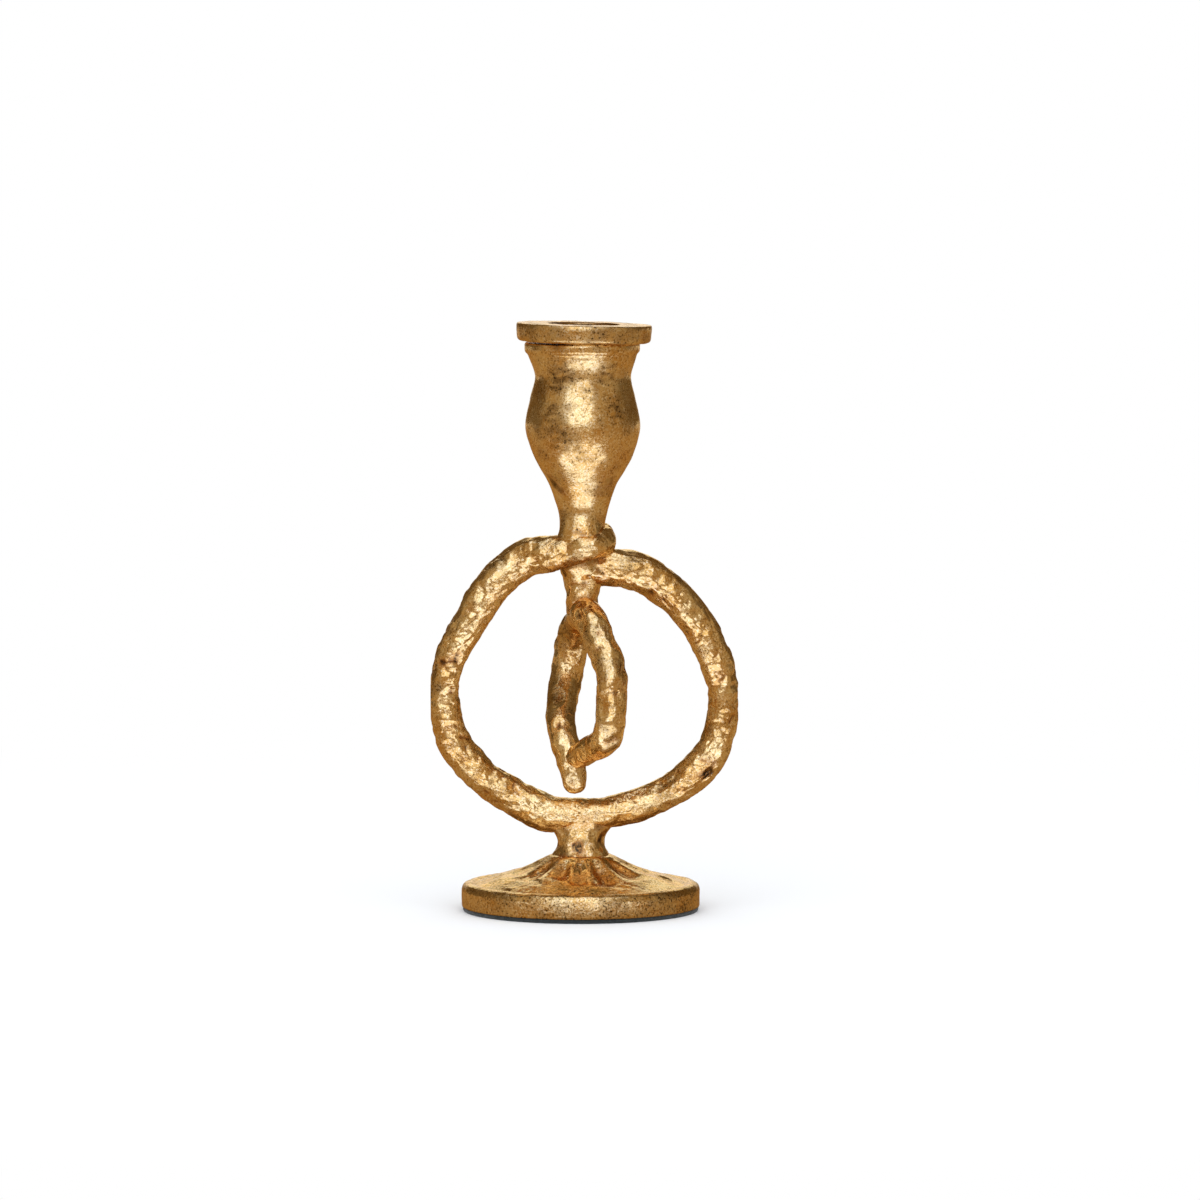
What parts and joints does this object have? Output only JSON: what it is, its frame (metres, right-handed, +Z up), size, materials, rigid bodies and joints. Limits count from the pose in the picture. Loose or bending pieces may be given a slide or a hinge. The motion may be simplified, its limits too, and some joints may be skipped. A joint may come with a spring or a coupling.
{
  "type": "taper candle holder",
  "caption": "Taper candle holder: a lumpy forged hoop on a round fluted foot carries a turned cup with a socket for a taper, and a smaller forged loop hangs inside the hoop.",
  "frame": {"origin": "centre of the felt's underside, on the table, under the centre of the foot", "axes": "+Z up, +X to the right and +Y to the back for someone who looks through the hoop"},
  "size_m": [0.0976, 0.076, 0.1868],
  "materials": {
    "gold_leaf": "antique gold leaf over hammered iron, rubbed through to red-brown and black in the hollows",
    "turned_gold": "antique gold leaf over a smoother turned casting",
    "steel": "plain fastener steel",
    "felt": "black felt"
  },
  "bodies": {
    "root": {"felt_pad": "felt", "foot": "gold_leaf", "foot_washer": "steel", "foot_screw": "steel", "collar": "gold_leaf", "hoop": "gold_leaf", "knuckle": "gold_leaf", "inner_loop": "gold_leaf", "cup_stud": "steel", "candle_cup": "turned_gold", "rim_ring": "turned_gold"}
  },
  "joints": []
}
